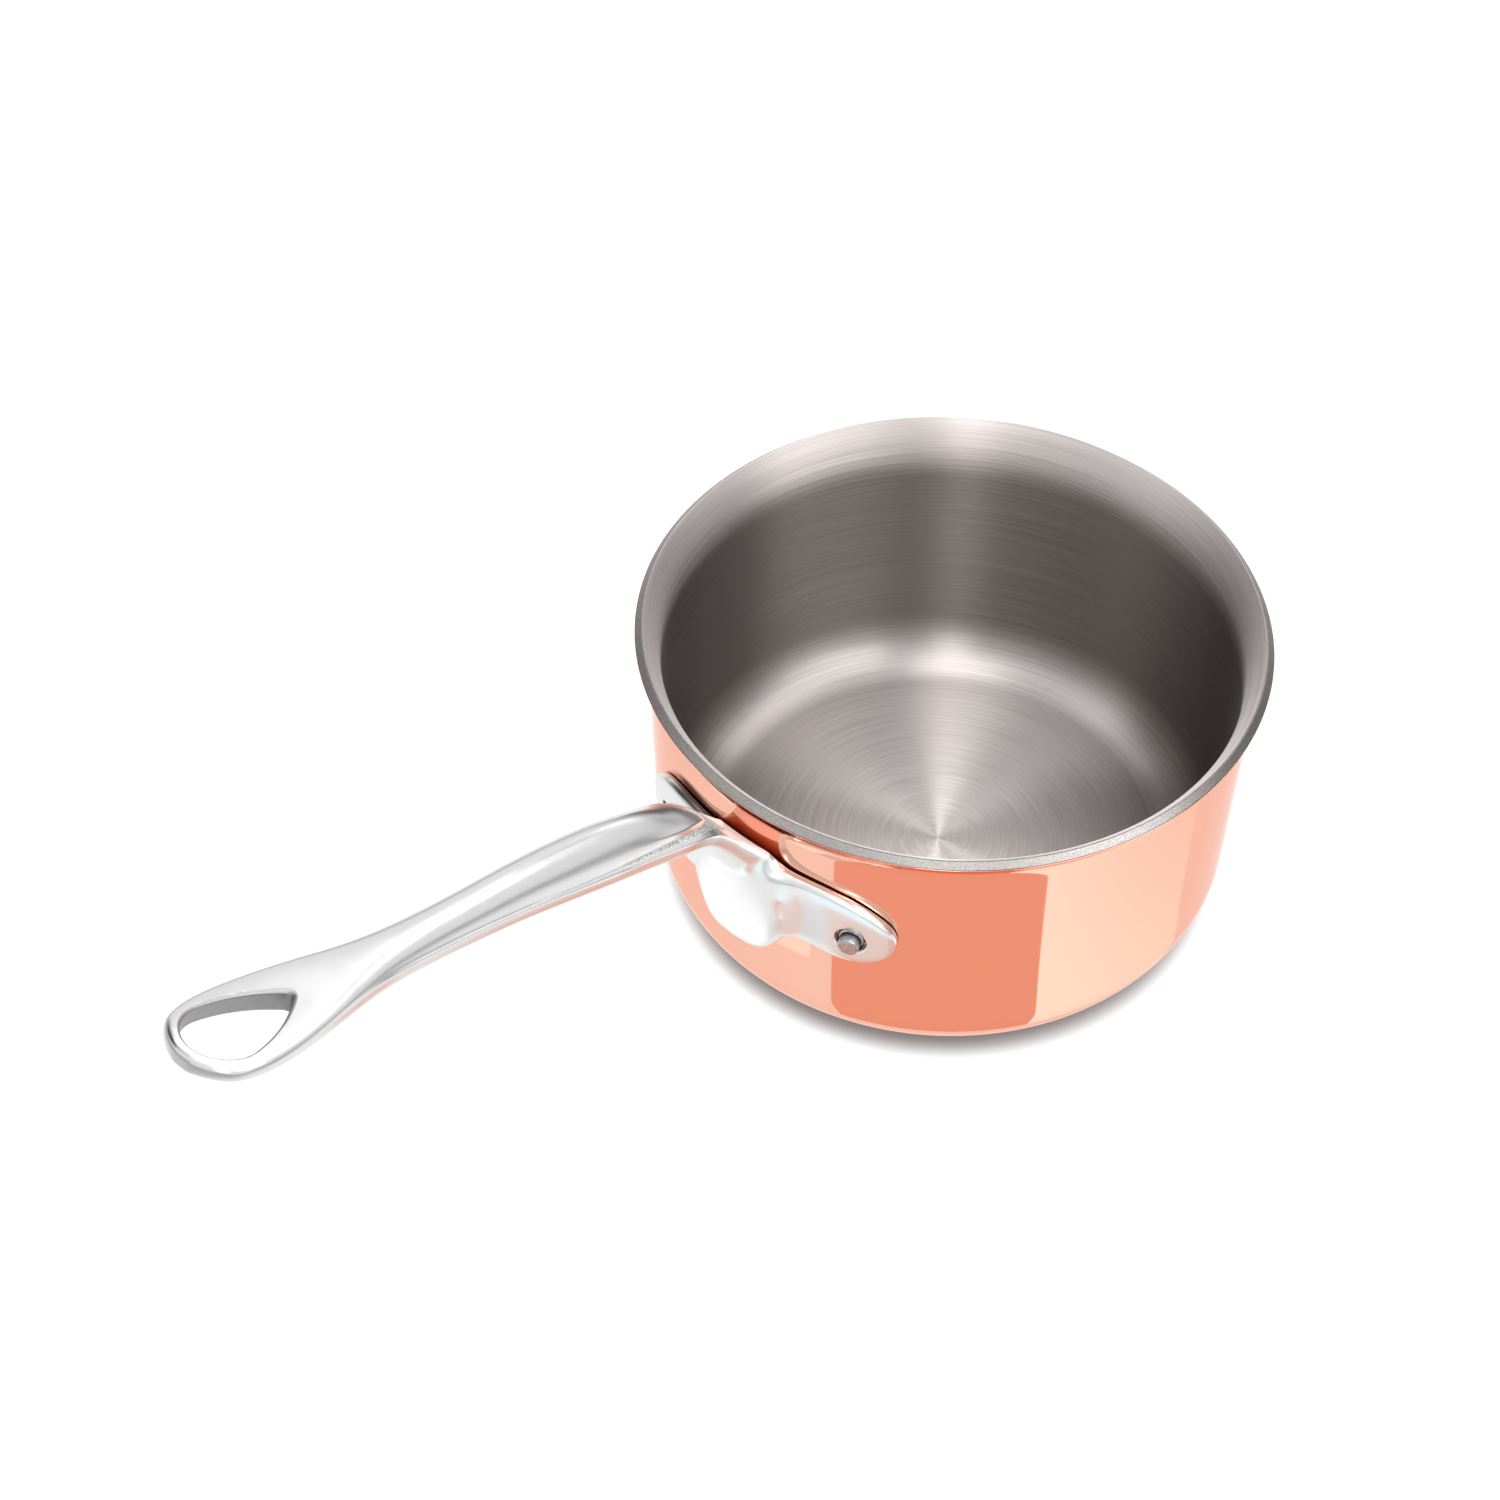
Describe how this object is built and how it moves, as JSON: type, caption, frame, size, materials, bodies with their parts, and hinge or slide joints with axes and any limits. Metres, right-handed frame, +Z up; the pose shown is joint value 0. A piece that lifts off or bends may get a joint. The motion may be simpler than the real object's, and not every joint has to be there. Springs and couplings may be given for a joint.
{
  "type": "saucepan",
  "caption": "Copper saucepan with a flared pouring rim, a brushed steel lining and a long cast steel handle, riveted on by a winged flange and ending in a teardrop hanging eye.",
  "frame": {"origin": "centre of the pan's flat base, on the surface it stands on", "axes": "+Z up along the pan's axis, +X along the handle, away from the pan"},
  "size_m": [0.3177, 0.152, 0.1357],
  "materials": {
    "copper_shell": "polished copper",
    "aluminium_core": "ground edge",
    "steel_lining": "brushed in circles",
    "handle": "polished casting",
    "rivets": "satin"
  },
  "bodies": {
    "root": {"copper_shell": "copper_shell", "aluminium_core": "aluminium_core", "steel_lining": "steel_lining", "handle": "handle", "rivet_left": "rivets", "rivet_right": "rivets"}
  },
  "joints": []
}
